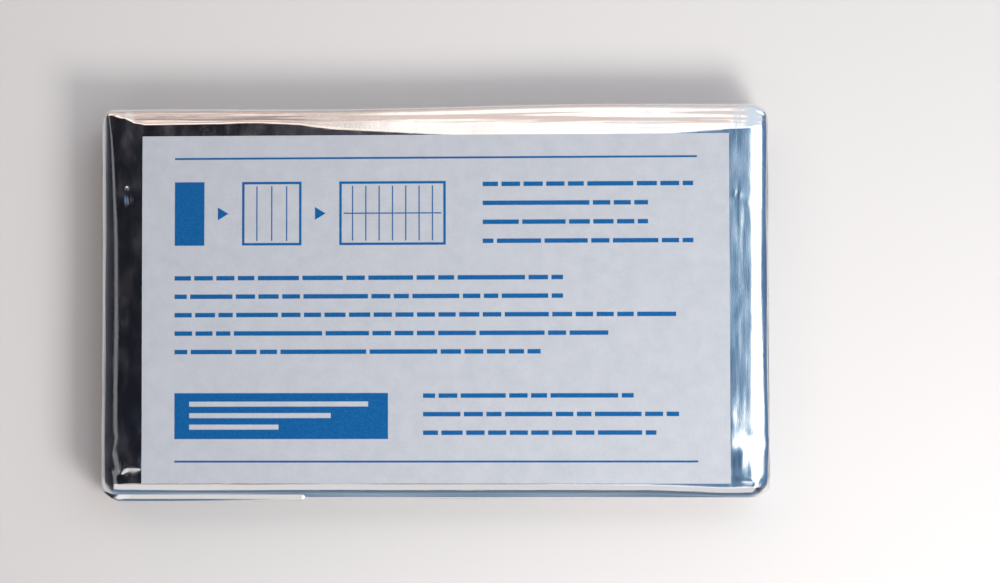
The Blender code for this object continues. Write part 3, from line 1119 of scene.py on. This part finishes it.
fibre = grain(tree, place, FIBRE, 3)
mottle = grain(tree, place, MOTTLE, 4)
clouds = maths(tree, "MULTIPLY", mottle, MOTTLE_SHARE)
cloudy = maths(tree, "MULTIPLY_ADD", fibre, FIBRE_SHARE, clouds)
bare_paper = mixed(ramp(tree, cloudy, *CLOUDY_RANGE), PAPER_DARK, PAPER_LIGHT)
ink_colour = mixed(ramp(tree, fibre, *INK_RANGE), INK_BLUE, INK_THIN)
dullness = ramp(tree, ink, 0, 1, PAPER_ROUGHNESS, INK_ROUGHNESS)
tree.links.new(mixed(ink, bare_paper, ink_colour), shader.inputs["Base Color"])
tree.links.new(dullness, shader.inputs["Roughness"])
shader.inputs["Specular IOR Level"].default_value = PAPER_SHINE
add_bump(tree, shader, cloudy, FIBRE_STRENGTH, FIBRE_HEIGHT)
label.data.materials.append(paper_finish)
print("nodes in the paper's tree:", len(tree.nodes))

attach(label, "root")
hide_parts("paper_label")

# %% [markdown]
# ## Floor and light
#
# A mirror shows its surroundings, so the foil takes its colours from the lights. The
# floor comes first. It is plain and pale, and every film that is steeper than 45
# degrees mirrors it.

# %% Floor
FLOOR_SIZE = 8
FLOOR_COLOUR = (0.66, 0.64, 0.63)
FLOOR_ROUGHNESS = 0.6

bpy.ops.object.select_all(action="DESELECT")
bpy.ops.mesh.primitive_plane_add(size=FLOOR_SIZE)
floor = bpy.context.object
floor.name = "studio_floor"
floor_finish, tree, shader, place = new_finish("pale_floor", FLOOR_COLOUR, 0.0)
shader.inputs["Roughness"].default_value = FLOOR_ROUGHNESS
floor.data.materials.append(floor_finish)
print("sides of the floor in m:", FLOOR_SIZE)

# %% [markdown]
# ## The cards
#
# Big soft lights stand all round, like the cards of a studio, 1 m away and facing the
# pack. Film that slopes by some angle mirrors what stands about twice that angle from
# straight up, so a card lights one slope of the folds and leaves the rest alone. They
# are blue and white at the right, warm behind, cream in front, and almost nothing at
# the left, which keeps that border dark. A picture of a room could do the same in one
# node, but a card is easy to move, and its name says what it does.

# %% Lights
CARD_DISTANCE = 1.0
LAMP_PLACE, LAMP_TURN = (0.17, -0.16, 0.26), (0.55, 0.5, 0)
LAMP_SIZE = 0.12
LAMP_POWER = 0.8
LAMP_COLOUR = (1.0, 0.97, 0.93)
CARDS = (
    # name, side, angles from straight up, ends of its length in m, brightness, colour
    ("night_blue", "right", (-7, 1), (-0.22, 0.1), 0.23, (0.29, 0.54, 1)),
    ("deep_blue", "right", (1, 9), (-0.6, 0.6), 0.36, (0.33, 0.62, 1)),
    ("pale_blue", "right", (9, 15), (-0.6, 0.6), 0.7, (0.48, 0.74, 1)),
    ("white_right", "right", (15, 60), (-0.6, 0.6), 1.5, (0.93, 0.97, 1)),
    ("blue_right", "right", (61, 73), (-0.6, 0.6), 0.36, (0.12, 0.46, 1)),
    ("low_blue_right", "right", (74, 88), (-0.6, 0.6), 0.12, (0.2, 0.5, 1)),
    ("dim_back", "back", (4, 14), (-0.17, 0), 0.055, (0.86, 0.86, 1)),
    ("white_back", "back", (15, 44), (-0.09, 0.1), 1.34, (1, 0.92, 0.85)),
    ("beige_back", "back", (44, 58), (-0.09, 0.1), 0.82, (1, 0.81, 0.71)),
    ("peach_back", "back", (58, 74), (-0.09, 0.1), 0.74, (1, 0.79, 0.66)),
    ("low_back", "back", (74, 89), (-0.09, 0.1), 0.4, (1, 0.78, 0.66)),
    ("cool_back", "back", (15, 62), (0.1, 1.3), 0.9, (0.8, 0.9, 1)),
    ("low_cool_back", "back", (62, 89), (0.1, 1.3), 0.6, (0.9, 0.95, 1)),
    ("line_back", "back", (17, 30), (-1.1, -0.1), 1.45, (1, 0.8, 0.67)),
    ("grey_back", "back", (30, 46), (-1.1, -0.1), 0.62, (1, 0.81, 0.73)),
    ("pink_back", "back", (46, 54), (-1.1, -0.1), 1.1, (1, 0.8, 0.71)),
    ("dusk_back", "back", (54, 62), (-1.1, -0.1), 0.34, (1, 0.78, 0.69)),
    ("rose_back", "back", (62, 72), (-1.1, -0.1), 0.72, (1, 0.78, 0.68)),
    ("low_dusk_back", "back", (72, 89), (-1.1, -0.1), 0.3, (1, 0.74, 0.62)),
    ("white_front", "front", (17, 56), (-0.8, 0.8), 0.79, (1, 0.955, 0.935)),
    ("blue_front", "front", (56, 88), (-0.8, 0.8), 0.22, (0.32, 0.65, 1)),
    ("grey_left", "left", (27, 42), (-0.5, 0.5), 0.2, (0.94, 0.97, 1)),
)
WAYS = {"back": (0, 1), "front": (0, -1), "right": (1, 0), "left": (-1, 0)}
for name, side, angles, ends, brightness, colour in CARDS:
    way_x, way_y = WAYS[side]
    middle = math.radians(sum(angles) / 2)
    across = 2 * CARD_DISTANCE * math.tan(math.radians(angles[1] - angles[0]) / 2)
    length = ends[1] - ends[0]
    out = CARD_DISTANCE * math.sin(middle)
    slide = sum(ends) / 2
    up = CARD_DISTANCE * math.cos(middle)
    place = (way_x * out + abs(way_y) * slide, way_y * out + abs(way_x) * slide, up)
    turn = (-way_y * middle, way_x * middle, 0)
    bpy.ops.object.light_add(type="AREA", location=place, rotation=turn)
    light = bpy.context.object
    light.name = name
    light.data.shape = "RECTANGLE"
    light.data.size, light.data.size_y = (across, length) if way_x else (length, across)
    light.data.energy = brightness * math.pi * across * length
    light.data.color = colour
    light.visible_camera = False

# A small lamp near the lower right corner lights the paper unevenly. It is hidden from
# glossy rays, so the film doesn't mirror it.
bpy.ops.object.light_add(type="AREA", location=LAMP_PLACE, rotation=LAMP_TURN)
lamp = bpy.context.object
lamp.name = "near_lamp"
lamp.data.size = LAMP_SIZE
lamp.data.energy = LAMP_POWER
lamp.data.color = LAMP_COLOUR
lamp.visible_camera = False
lamp.visible_glossy = False
bpy.context.scene.view_settings.view_transform = "Standard"
print("lights:", len(CARDS) + 1)

# %% [markdown]
# ## The sky
#
# What no card covers is the sky. It is nearly black overhead, so the flat film looks
# dark beside the bright folds, and paler toward the horizon. A colour ramp reads the
# height of the direction.

# %% Sky
SKY = (
    # height of the direction, colour
    (0.0, (0.42, 0.43, 0.45, 1)),
    (0.1, (0.27, 0.27, 0.29, 1)),
    (0.25, (0.09, 0.09, 0.105, 1)),
    (0.4, (0.05, 0.05, 0.062, 1)),
    (0.8, (0.011, 0.011, 0.017, 1)),
)
world = bpy.data.worlds.new("studio_sky")
bpy.context.scene.world = world
world.use_nodes = True
tree = world.node_tree
direction = new_node(tree, "ShaderNodeTexCoord").outputs["Generated"]
sky_ramp = new_node(tree, "ShaderNodeValToRGB")
stops = sky_ramp.color_ramp.elements
for _ in SKY[2:]:
    stops.new(0.5)
for stop, (height, colour) in zip(stops, SKY):
    stop.position = height
    stop.color = colour
tree.links.new(parts(tree, direction)["Z"], sky_ramp.inputs["Fac"])
tree.links.new(sky_ramp.outputs["Color"], tree.nodes["Background"].inputs["Color"])
print("colours of the sky:", len(stops))
